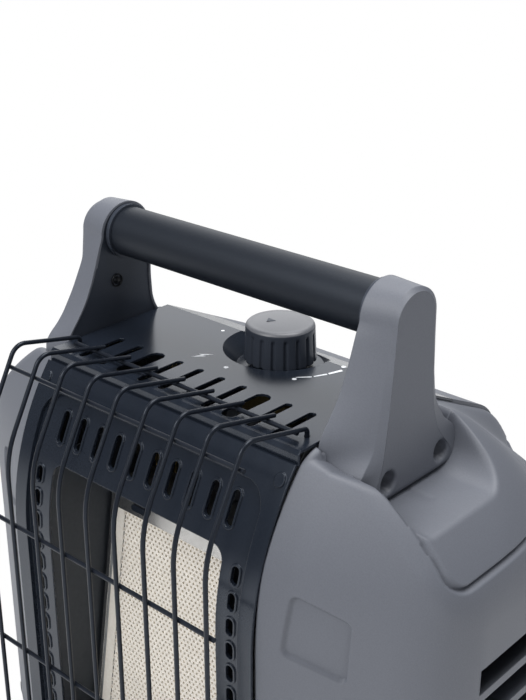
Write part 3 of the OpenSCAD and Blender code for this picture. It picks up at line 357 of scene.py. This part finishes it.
# Each ray is walked until shellDepth is zero. The wall's thickness is turned in at the front and back edges
# and at the foot, and the faces over the vents are left out.
def shellSkin(s):
    start, way = shellRays(s)
    reach = np.zeros(start.shape[:2])
    for step in range(s["steps"]):
        p = start + way * reach[..., None]
        depth = shellDepth(s, p[..., 0], p[..., 1], p[..., 2])
        reach = np.maximum(reach - s["stride"] * np.clip(depth, -s["stepOut"], s["stepBack"]), 0)
    skin = start + way * reach[..., None]
    way = np.concatenate([way[:, :1], way, way[:, -1:]], 1)
    frontEdge, backEdge = skin[:, :1] - way[:, :1] * s["wall"], skin[:, -1:] - way[:, -1:] * s["wall"]
    skin = np.concatenate([frontEdge, skin, backEdge], 1)
    skin = np.concatenate([skin[:1] - way[:1] * s["wall"], skin], 0)
    x, y, z = np.moveaxis(skin[:-1, :-1] / 2 + skin[1:, 1:] / 2, -1, 0)
    overVents = (y > s["slotFront"]) & (y < s["slotBack"]) & (z > s["slotBottom"]) & (z < s["slotTop"])
    overVents = overVents & (x > s["coreX"] + s["slotIn"])
    return skin.reshape(-1, 3), gridFaces(*skin.shape[:2])[~overVents.reshape(-1)]


skinPoints, skinFaces = shellSkin(shellSizes)
for side, sign in sides:
    addMesh(side + "Skin", *mirrored(skinPoints, skinFaces, sign), "housing", "grey_plastic",
            replaced=(side + "_shell", side + "_shoulder"))
print("shells made", len(skinFaces), "faces each")


# Handle uprights, with the cover on the inner face and the sunk screws.
uprightSizes = {  # mm; an outline gives the place along Y at each height, and outer the place along X
    "inner": 97.0, "foot": 263.2, "grip": 357.0,
    "rise": (18.0, 16.6, 14.6),  # of the inner edge, the crease and the outer face
    "outer": [(264, 122.6), (275, 122.4), (285, 121.9), (300, 120.6), (320, 119.2), (340, 118.3),
              (375, 117.8)],
    "bottomChamfer": 4.6, "chamferSlope": 0.8,
    "innerFront": [(264, -50), (299, -50), (303, -48), (311.7, -40.5), (320, -34.6), (331, -29.3),
                   (342.4, -25), (353, -21.3), (357, -19)],
    "creaseFront": [(264, -44), (280, -43), (285.8, -41), (289, -36.4), (293, -32), (303.7, -27.9),
                    (323.1, -22.8), (340.8, -18.3), (357, -15.8)],
    "faceFront": [(264, -38), (272, -36.5), (281, -31.5), (288.1, -28.4), (297, -26), (315.7, -21.4),
                  (336.5, -18.1), (357, -15.9)],
    "faceRear": [(264, 33), (268, 33.8), (273, 32.6), (279, 28.4), (284.7, 23.6), (291, 19.2), (302.2, 16.5),
                 (309.8, 15.8), (357, 15.5)],
    "creaseRear": [(264, 38.5), (268.7, 40.6), (272.9, 40), (287.2, 35.6), (293.1, 27.5), (303.6, 21.4),
                   (309.9, 19.4), (323.9, 18.6), (336.2, 18.9), (357, 18.8)],
    "outerBlend": 6.0, "frontBlend": 4.0, "rearBlend": 2.5,  # smoothing of the outlines
    "frontDepth": 3.4, "rearDepth": 1.5, "depthFrom": 0.42, "depthRun": 0.16,  # bevel, eased at the head
    "footDepth": 1.6, "footTop": 286.0, "footRun": 8.0,
    "screws": [(-24.0, 276.2), (22.4, 276.2)], "screwRim": 6.9, "rimDepth": 1.3, "screwHole": 5.5,
    "holeDepth": 9.7, "holeEdge": 0.6,
    "coverInset": 1.5, "coverSunk": 0.8, "coverTop": 350.0, "coverTopRun": 20.0, "headShare": 0.2,
    "screwHead": [(107, 0), (107, 4.4), (113, 4.4), (113.4, 4.0), (113.4, 2.0), (112, 1.8), (112, 0)],
    "coverScrew": [(99, 0), (99, 4.2), (97.1, 4.2), (96.7, 3.8), (97.2, 3.4), (98.6, 3.0), (98.6, 2.6),
                   (97.0, 2.2), (96.9, 0)],
    "coverScrewAt": (0.0, -8.8, 327.0), "around": 32,
    "upRows": 90, "headRows": 61, "sideSteps": 12, "bevelSteps": 4, "faceSteps": 110, "coverSteps": 40,
}
leftUpright = dict(uprightSizes, frontDepth=4.5, creaseFront=[
    (264, -52), (297, -51), (300.5, -46), (308.3, -38.6), (322.9, -30), (340.4, -21.6), (357, -16.6)])


def edgeLine(z, outline, blend):  # places at these heights, as the mean of nine within the blend
    heights, places = np.array(outline, float).T
    return np.mean([np.interp(z + step, heights, places) for step in np.linspace(-blend, blend, 9)], 0)


def uprightEdge(s, front, rear, rise):  # up the front outline, over half an ellipse, down the rear outline
    up = np.linspace(s["foot"], s["grip"], s["upRows"])
    turn = np.linspace(0, math.pi, s["headRows"])[1:-1]
    ahead, behind = edgeLine(up, s[front], s["frontBlend"]), edgeLine(up, s[rear], s["rearBlend"])
    head = np.where(turn < math.pi / 2, -ahead[-1], behind[-1]) * -np.cos(turn)
    y = np.concatenate([ahead, head, behind[::-1]])
    z = np.concatenate([up, s["grip"] + rise * np.sin(turn), up[::-1]])
    return y, z


def outerPlace(s, z):  # the outer face at these heights, cut back straight below the bottom chamfer
    cut = np.maximum(s["foot"] + s["bottomChamfer"] - z, 0)
    return edgeLine(z, s["outer"], s["outerBlend"]) - s["chamferSlope"] * cut


def band(first, second, steps):  # straight strip between two edges of equal length
    t = np.linspace(0, 1, steps)[None, :, None]
    points = first[:, None] * (1 - t) + second[:, None] * t
    return points.reshape(-1, 3), gridFaces(len(first), steps)


def across(y, z, steps):  # grid of straight rows from the front half of an edge to its rear half
    half = (len(y) + 1) // 2
    t = np.linspace(0, 1, steps)[None, :]
    gridY = y[:half, None] * (1 - t) + y[::-1][:half, None] * t
    gridZ = z[:half, None] * (1 - t) + z[::-1][:half, None] * t
    return gridY, gridZ


def coverRim(s, y, z):  # the inner edge moved in all round by the cover's inset
    way = np.linspace(0, 1, len(y))
    rimY = y + s["coverInset"] * np.where(way < 0.5, 1, -1)
    rimY = np.where(np.abs(way - 0.5) < s["headShare"], y * (1 - s["coverInset"] / s["rise"][0]), rimY)
    rimZ = z - s["coverInset"] * smoothStep((z - s["coverTop"]) / s["coverTopRun"])
    return rimY, rimZ


def screwPlaces(s, y, z):  # how far the face is sunk: a conical rim, and a hole with a steep edge
    sunk = np.zeros_like(y)
    for screwY, screwZ in s["screws"]:
        away = np.hypot(y - screwY, z - screwZ)
        sunk = sunk + s["rimDepth"] * np.clip((s["screwRim"] - away) / s["rimDepth"], 0, 1)
        sunk = sunk + s["holeDepth"] * smoothStep((s["screwHole"] + s["holeEdge"] / 2 - away) / s["holeEdge"])
    return sunk


# The upright is a band from the inner edge to a crease, a bevel from the crease to the outer face, the outer
# face with its two screw places, and a step down to the shallow place of the cover on its inner face.
def uprightGrids(s):
    innerY, innerZ = uprightEdge(s, "innerFront", "creaseRear", s["rise"][0])
    creaseY, creaseZ = uprightEdge(s, "creaseFront", "creaseRear", s["rise"][1])
    faceY, faceZ = uprightEdge(s, "faceFront", "faceRear", s["rise"][2])
    way = np.linspace(0, 1, len(innerY))
    rearward = smoothStep((way - s["depthFrom"]) / s["depthRun"])
    bevel = s["frontDepth"] + (s["rearDepth"] - s["frontDepth"]) * rearward
    bevel = bevel + s["footDepth"] * smoothStep((s["footTop"] - creaseZ) / s["footRun"]) * (way < 0.5)
    inner = np.stack([np.full_like(innerY, s["inner"]), innerY, innerZ], -1)
    crease = np.stack([outerPlace(s, creaseZ) - bevel, creaseY, creaseZ], -1)
    face = np.stack([outerPlace(s, faceZ), faceY, faceZ], -1)
    gridY, gridZ = across(faceY, faceZ, s["faceSteps"])
    outer = np.stack([outerPlace(s, gridZ) - screwPlaces(s, gridY, gridZ), gridY, gridZ], -1)
    rimY, rimZ = coverRim(s, innerY, innerZ)
    rim = np.stack([np.full_like(rimY, s["inner"]), rimY, rimZ], -1)
    coverY, coverZ = across(rimY, rimZ, s["coverSteps"])
    cover = np.stack([np.full_like(coverY, s["inner"] + s["coverSunk"]), coverY, coverZ], -1)
    sidePoints, sideFaces = band(inner, crease, s["sideSteps"])
    bevelPoints, bevelFaces = band(crease, face, s["bevelSteps"])
    body = joinGrids([(sidePoints, sideFaces[:, ::-1]), (bevelPoints, bevelFaces[:, ::-1]),
                      (outer.reshape(-1, 3), gridFaces(*gridY.shape)),
                      band(inner, rim, 3), band(rim, rim + (s["coverSunk"], 0, 0), 3)])
    return body, (cover.reshape(-1, 3), gridFaces(*coverY.shape)[:, ::-1])


for side, sign in sides:
    sizes = uprightSizes if sign > 0 else leftUpright
    upright, cover = uprightGrids(sizes)
    heads = joinGrids([turned(sizes["screwHead"], sizes["around"], (0, y, z)) for y, z in sizes["screws"]])
    screwPoints, screwFaces = turned(sizes["coverScrew"], sizes["around"], sizes["coverScrewAt"])
    addMesh(side + "Upright", *mirrored(*upright, sign), "housing", "grey_plastic",
            replaced=(side + "_bracket",))
    addMesh(side + "Cover", *mirrored(*cover, sign), "housing", "dark_plastic",
            replaced=("bracket_covers",))
    addMesh(side + "UprightScrews", *mirrored(*heads, sign), "housing", "black_screw",
            replaced=("bracket_screws",))
    addMesh(side + "CoverScrew", *mirrored(screwPoints, screwFaces[:, ::-1], sign), "housing", "black_screw",
            replaced=("cover_screws",))
print("handle uprights made")


# Vents on the flanks: slanted blades behind the skin's openings, and a thin frame round them.
ventSizes = {  # mm; the blade's outline starts at the lower edge of an opening
    "front": shellSizes["slotFront"], "back": shellSizes["slotBack"], "top": shellSizes["slotTop"],
    "pitch": 21.9, "count": 4, "slot": 16.4, "face": 184.4,
    "blade": [(0.0, 0.0), (0.0, -5.5), (-3.0, -5.5), (-24.4, -19.0), (-24.4, -16.0), (-2.4, -1.6)],
    "bladeOver": 0.5, "frame": 1.0, "frameIn": shellSizes["wall"], "frameOut": 0.3,
}


def ventParts(s, sign):
    parts = []
    for i in range(s["count"]):
        top = s["top"] - i * s["pitch"] - s["slot"]
        parts.append(prismY([((s["face"] + x) * sign, top + z) for x, z in s["blade"]],
                            s["front"] - s["bladeOver"], s["back"] + s["bladeOver"]))
    x0, x1 = (s["face"] - s["frameIn"]) * sign, (s["face"] + s["frameOut"]) * sign
    z0, z1, z2 = s["top"] - s["count"] * s["pitch"], s["top"], s["top"] + s["frame"]
    y0, y1, y2, y3 = s["front"] - s["frame"], s["front"], s["back"], s["back"] + s["frame"]
    for low, high, near, far in ((z0, z1, y0, y1), (z0, z1, y2, y3), (z1, z2, y0, y3)):
        parts.append(prismY([(x0, low), (x1, low), (x1, high), (x0, high)], near, far))
    return parts


for side, sign in sides:
    addFlat(side + "Vents", ventParts(ventSizes, sign), "housing", "grey_plastic")
print("vents made")


# Control knob
knobSizes = {  # mm
    "x": 3.0, "y": 28.0, "bottom": 293.7, "top": 316.2, "low": 21.5, "high": 20.4, "round": 2.6, "dome": 0.9,
    "hem": 4.0, "hemRound": 0.8, "flutes": 18, "fluteDepth": 1.3, "fluteTop": 4.0, "fluteFade": 2.5,
    "fluteGain": 1.6, "fluteCut": 0.6, "fluteRing": 3.0,  # shape of a flute's cosine
    "pointer": [(-1.6, 21.0), (1.6, 25.4), (-4.4, 25.8)], "pointerLow": 316.9, "pointerHigh": 317.25,
    "paintedSheenFrom": 1.4,  # the top faces get a paler copy of the finish: painted sheen in place of the glossy top's reflection
    "around": 361, "sideRows": 24, "roundRows": 10, "capRows": 14,
}


# Radius = side profile less a soft flute, which is a rounded cosine round the axis that fades below the top.
def knobGrid(s):
    turn = np.linspace(0, 2 * math.pi, s["around"])[None, :]
    curve = np.linspace(0, math.pi / 2, s["roundRows"])[1:]
    rise = np.linspace(s["bottom"], s["top"] - s["round"], s["sideRows"])
    side = s["low"] + (s["high"] - s["low"]) * (rise - s["bottom"]) / (s["top"] - s["bottom"])
    cap = np.linspace(s["high"] - s["round"], 0, s["capRows"])[1:]
    radius = np.concatenate([[s["low"] - s["hem"], s["low"] - s["hemRound"]], side,
                             side[-1] - s["round"] * (1 - np.cos(curve)), cap])[:, None]
    height = np.concatenate([[s["bottom"], s["bottom"]], rise, rise[-1] + s["round"] * np.sin(curve),
                             s["top"] + s["dome"] * (1 - (cap / cap[0]) ** 2)])[:, None]
    wave = np.clip(np.cos(s["flutes"] * turn) * s["fluteGain"] - s["fluteCut"], 0, 1)
    fade = smoothStep((s["top"] - s["fluteTop"] - height) / s["fluteFade"])
    fluted = radius - s["fluteDepth"] * wave * fade * (radius > s["high"] - s["fluteRing"])
    x, y = s["x"] + fluted * np.cos(turn), s["y"] + fluted * np.sin(turn)
    return np.stack(np.broadcast_arrays(x, y, height), -1)


grid = knobGrid(knobSizes)
knob = addMesh("knobCap", grid.reshape(-1, 3), gridFaces(*grid.shape[:2]), "knob", "dark_plastic",
               replaced=("control_knob",))
# Painted sheen: the faces near the top get the paler finish in place of the glossy top's reflection.
knob.data.materials.append(materials["knobSheenPainted"])
paintedSheenFaces = np.repeat(grid[1:, 0, 2] > knobSizes["top"] - knobSizes["paintedSheenFrom"], grid.shape[1] - 1)
knob.data.polygons.foreach_set("material_index", paintedSheenFaces.astype(int))
addFlat("knobPointer", [plateZ(knobSizes["pointer"], knobSizes["pointerLow"], knobSizes["pointerHigh"])],
        "knob", "dark_plastic")


# Marks on the top plate round the knob: dots, a spark, and dashes that grow along an arc.
markSizes = {  # mm
    "low": 299.9, "high": 300.12,
    "dots": [(-39.2, 23.1, 1.1), (-0.4, -14.6, 1.4), (38.6, -0.6, 1.3), (48.6, 30.6, 1.4)],  # x, y, radius
    "spark": [(-18.6, -6.4), (-25.0, -11.6), (-22.6, -11.4), (-25.8, -17.2), (-19.6, -11.6), (-22.0, -12.0)],
    "dashes": [((37.8, 1.6), (43.9, 8.0), 0.5, 1.1), ((44.5, 9.3), (48.0, 16.5), 1.1, 1.6),
               ((48.3, 17.6), (51.1, 26.2), 1.6, 2.2)],  # start, end, both widths
}


def disc(x, y, radius):  # circle of 24 points
    turn = np.linspace(0, 2 * math.pi, 25)[:-1]
    return np.stack([x + radius * np.cos(turn), y + radius * np.sin(turn)], -1)


def dash(start, end, width0, width1):  # straight stroke, half of each width to either side of it
    (x0, y0), (x1, y1) = start, end
    length = math.hypot(x1 - x0, y1 - y0)
    besideX, besideY = -(y1 - y0) / length / 2, (x1 - x0) / length / 2
    return [(x0 + besideX * width0, y0 + besideY * width0), (x0 - besideX * width0, y0 - besideY * width0),
            (x1 - besideX * width1, y1 - besideY * width1), (x1 + besideX * width1, y1 + besideY * width1)]


marks = [disc(*dot) for dot in markSizes["dots"]] + [markSizes["spark"]]
marks += [dash(*stroke) for stroke in markSizes["dashes"]]
addFlat("plateMarks", [plateZ(outline, markSizes["low"], markSizes["high"]) for outline in marks],
        "housing", "ceramic", finish="print")
print("knob and marks made")


# Burner tile with its pits, in its own frame: front face at y = 0, centre of the face at the origin.
tileSizes = {  # mm and degrees
    "y": -59.0, "z": 133.0, "lean": 9.0, "wide": 124.0, "high": 144.0, "thick": 12.0, "border": 4.0,
    "pitchX": 3.2, "pitchZ": 2.75, "pit": 0.88, "depth": 1.5,
}


def leanBack(points, s):  # turned back about X by the lean, then moved to the tile's place
    turn = math.radians(s["lean"])
    x, y, z = points.T
    leantY = y * math.cos(turn) + z * math.sin(turn) + s["y"]
    leantZ = z * math.cos(turn) - y * math.sin(turn) + s["z"]
    return np.stack([x, leantY, leantZ], -1)


# One cell is a square ring of eight faces round an eight-sided pit with a floor. It is repeated in staggered
# rows, and four plain strips and five plain faces close the tile round them.
def tileParts(s):
    columns = int((s["wide"] - 2 * s["border"]) / s["pitchX"] - 0.5)
    rows = int((s["high"] - 2 * s["border"]) / s["pitchZ"])
    turn = np.radians(np.arange(8) * 45.0)
    ray = np.stack([np.cos(turn), np.zeros(8), np.sin(turn)], -1)
    square = ray / np.abs(ray).max(1)[:, None] * (s["pitchX"] / 2, 0, s["pitchZ"] / 2)
    cell = np.concatenate([square, ray * s["pit"], ray * s["pit"] + (0, s["depth"], 0)])
    i = np.arange(8)
    n = (i + 1) % 8
    ring = np.stack([i, n, n + 8, i + 8], -1)
    cellFaces = np.concatenate([ring, ring + 8])
    halfX, halfZ = (columns - 1) * s["pitchX"] / 2, rows * s["pitchZ"] / 2
    gridX, gridZ = np.meshgrid(np.arange(columns) * s["pitchX"] - halfX + s["pitchX"] / 4,
                               np.arange(rows) * s["pitchZ"] - halfZ + s["pitchZ"] / 2)
    gridX = gridX + (np.arange(rows) % 2)[:, None] * s["pitchX"] / 2
    places = np.stack([gridX, np.zeros_like(gridX), gridZ], -1).reshape(-1, 1, 3)
    start = (np.arange(rows * columns) * len(cell))[:, None, None]
    faces = (cellFaces[None] + start).reshape(-1, 4).tolist()
    faces += (np.arange(16, 24)[None] + start[:, 0]).tolist()
    w, h, t = s["wide"] / 2, s["high"] / 2, s["thick"]
    rim = np.array([(-w, 0, -h), (w, 0, -h), (w, 0, h), (-w, 0, h),
                    (-halfX, 0, -halfZ), (halfX, 0, -halfZ), (halfX, 0, halfZ), (-halfX, 0, halfZ),
                    (-w, t, -h), (w, t, -h), (w, t, h), (-w, t, h)])
    rimFaces = [[0, 1, 5, 4], [1, 2, 6, 5], [2, 3, 7, 6], [3, 0, 4, 7],
                [0, 8, 9, 1], [1, 9, 10, 2], [2, 10, 11, 3], [3, 11, 8, 0], [8, 11, 10, 9]]
    return [((places + cell[None]).reshape(-1, 3), faces), (rim, rimFaces)]


points, faces = joinLists(tileParts(tileSizes))
addMesh("tileFace", leanBack(points, tileSizes), faces, "housing", "ceramic", smooth=False,
        replaced=("burner_tile",), finish="tile")
print("tile made", len(faces), "faces")


# Bright fold along the top of the tile's clamp, and a dark pill in its strip that is painted shade for the
# opening of a slot, in the tile's frame.
clampSizes = {  # mm
    "half": 66.0, "foldRadius": 0.9, "foldAt": (0.0, -1.6, 85.6), "foldRound": 16,
    "slotFrom": -45.0, "slotTo": -34.0, "slotHeight": 73.5, "slotRadius": 2.0,
    "slotFront": -2.6, "slotBack": -1.1,
}


def longHole(s):  # two half circles joined by straight sides
    turn = np.linspace(-math.pi / 2, math.pi / 2, 9)
    arc = s["slotRadius"] * np.stack([np.cos(turn), np.sin(turn)], -1)
    return np.concatenate([(s["slotFrom"], s["slotHeight"]) - arc, (s["slotTo"], s["slotHeight"]) + arc])


half, radius = clampSizes["half"], clampSizes["foldRadius"]
points, faces = turned([(-half, 0), (-half, radius), (half, radius), (half, 0)], clampSizes["foldRound"],
                       clampSizes["foldAt"])
addMesh("clampFold", leanBack(points, tileSizes), faces[:, ::-1], "housing", "stainless")
# The slot's opening is drawn as a dark solid: painted shade in place of a hole.
points, faces = prismY(longHole(clampSizes), clampSizes["slotFront"], clampSizes["slotBack"])
addFlat("clampSlotPaintedShade", [(leanBack(points, tileSizes), faces)], "housing", "dark_steel")
print("clamp made")


# Light, floor and camera
lamps = {  # place and target in m, size in m, power in W
    "keyLight": ((-0.15, -1.15, 1.25), (0, 0, 0.2), (0.9, 0.9), 16),
    "rightLight": ((1.3, -1.0, 0.7), (0.1, 0, 0.2), (0.8, 1.0), 1.5),
    "backLight": ((-1.0, 1.1, 0.85), (0, 0, 0.28), (1.5, 1.0), 7),
    "topLight": ((0.1, 0.3, 1.6), (0, 0, 0.3), (1.2, 0.9), 21),
}
stage = {"airColour": (0.9, 0.93, 1.0, 1), "airStrength": 0.22,
         "floorColour": (0.9, 0.9, 0.9, 1), "floorRough": 0.9, "floorSize": 6}
view = {"place": (0.4384, -0.4677, 0.5850), "tilt": 66.49, "turn": 42.18, "lens": 62.77, "sensor": 36}


def addArea(name, place, target, size, power):  # rectangular lamp that looks from its place at the target
    lamp = bpy.data.lights.new(name, "AREA")
    lamp.shape = "RECTANGLE"
    lamp.size, lamp.size_y = size
    lamp.energy = power
    holder = bpy.data.objects.new(name, lamp)
    bpy.context.scene.collection.objects.link(holder)
    holder.location = place
    holder.rotation_euler = (Vector(target) - Vector(place)).to_track_quat("-Z", "Y").to_euler()


for name, lamp in lamps.items():
    addArea(name, *lamp)

world = bpy.data.worlds.new("world")
bpy.context.scene.world = world
world.use_nodes = True
sky = world.node_tree
air = sky.nodes["Background"]
air.inputs["Color"].default_value = stage["airColour"]
air.inputs["Strength"].default_value = stage["airStrength"]
white = sky.nodes.new("ShaderNodeBackground")  # what the camera sees behind the heater
white.inputs["Color"].default_value = (1, 1, 1, 1)
white.inputs["Strength"].default_value = 1.0
rays = sky.nodes.new("ShaderNodeLightPath")
blend = sky.nodes.new("ShaderNodeMixShader")
sky.links.new(rays.outputs["Is Camera Ray"], blend.inputs["Fac"])
sky.links.new(air.outputs["Background"], blend.inputs[1])
sky.links.new(white.outputs["Background"], blend.inputs[2])
sky.links.new(blend.outputs["Shader"], sky.nodes["World Output"].inputs["Surface"])

bpy.ops.mesh.primitive_plane_add(size=stage["floorSize"], location=(0, 0, 0))
floor = bpy.context.object
floor.name = "floor"
floorMaterial, tree, shader = newMaterial("floor")
shader.inputs["Base Color"].default_value = stage["floorColour"]
shader.inputs["Roughness"].default_value = stage["floorRough"]
floor.data.materials.append(floorMaterial)
floor.visible_camera = False

cameraData = bpy.data.cameras.new("camera")
cameraData.lens = view["lens"]
cameraData.sensor_width = view["sensor"]
cameraData.sensor_fit = "AUTO"
camera = bpy.data.objects.new("camera", cameraData)
bpy.context.scene.collection.objects.link(camera)
camera.location = view["place"]
camera.rotation_euler = (math.radians(view["tilt"]), 0, math.radians(view["turn"]))
bpy.context.scene.camera = camera
bpy.context.scene.view_settings.view_transform = "Standard"
print("stage set")
